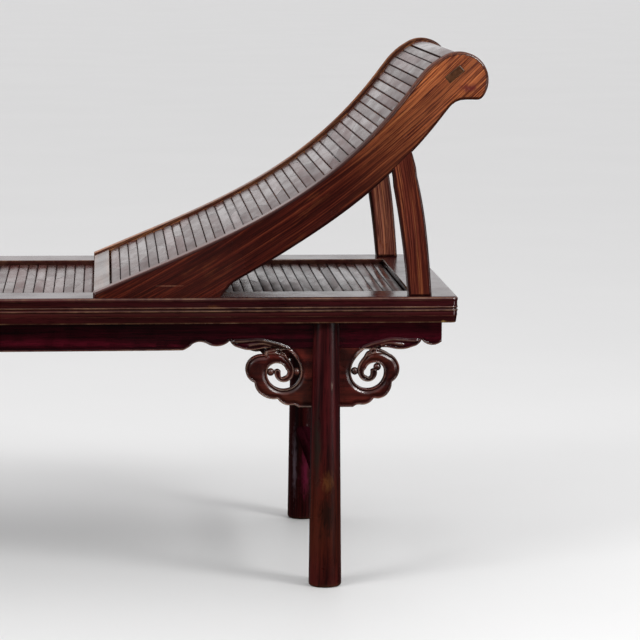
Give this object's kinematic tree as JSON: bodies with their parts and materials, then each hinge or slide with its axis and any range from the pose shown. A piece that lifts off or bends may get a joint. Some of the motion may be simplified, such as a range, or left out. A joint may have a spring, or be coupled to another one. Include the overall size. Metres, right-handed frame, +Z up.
{
  "type": "slatted lounge chair",
  "caption": "Bench-form lounge chair in dark lacquered wood: slatted seat on round recessed legs with pierced cloud-scroll spandrels, and a fixed S-curved slatted backrest.",
  "frame": {"origin": "middle of the overall box, on the floor under the feet", "axes": "+X along the bench to the head end, +Y to the back, +Z up"},
  "size_m": [1.7439, 0.56, 0.8549],
  "materials": {
    "dark_lacquer": "very dark burgundy lacquer, worn on the edges",
    "rosewood": "polished reddish-brown wood with dark streaks",
    "slat_lacquer": "satin brown lacquer on narrow slats"
  },
  "bodies": {
    "root": {"apron_back": "dark_lacquer", "apron_foot_end": "dark_lacquer", "apron_front": "dark_lacquer", "apron_head_end": "dark_lacquer", "crest_board": "slat_lacquer", "head_rail": "rosewood", "leg_back_foot": "dark_lacquer", "leg_back_head": "dark_lacquer", "leg_front_foot": "dark_lacquer", "leg_front_head": "dark_lacquer", "plank_back": "rosewood", "plank_front": "rosewood", "post_back": "rosewood", "post_front": "rosewood", "rail_back": "dark_lacquer", "rail_foot_end": "dark_lacquer", "rail_front": "dark_lacquer", "rail_head_end": "dark_lacquer", "ramp_batten_1": "rosewood", "ramp_batten_2": "rosewood", "ramp_foot_strip": "rosewood", "ramp_slats_1": "slat_lacquer", "ramp_slats_2": "slat_lacquer", "ramp_slats_3": "slat_lacquer", "seat_batten_1": "dark_lacquer", "seat_batten_2": "dark_lacquer", "seat_batten_3": "dark_lacquer", "seat_slats_1": "slat_lacquer", "seat_slats_2": "slat_lacquer", "seat_slats_3": "slat_lacquer", "seat_slats_4": "slat_lacquer", "spandrel_back_foot_inner": "dark_lacquer", "spandrel_back_foot_outer": "dark_lacquer", "spandrel_back_head_inner": "dark_lacquer", "spandrel_back_head_outer": "dark_lacquer", "spandrel_front_foot_inner": "dark_lacquer", "spandrel_front_foot_outer": "dark_lacquer", "spandrel_front_head_inner": "dark_lacquer", "spandrel_front_head_outer": "dark_lacquer", "stretcher_foot": "dark_lacquer", "stretcher_head": "dark_lacquer"}
  },
  "joints": []
}
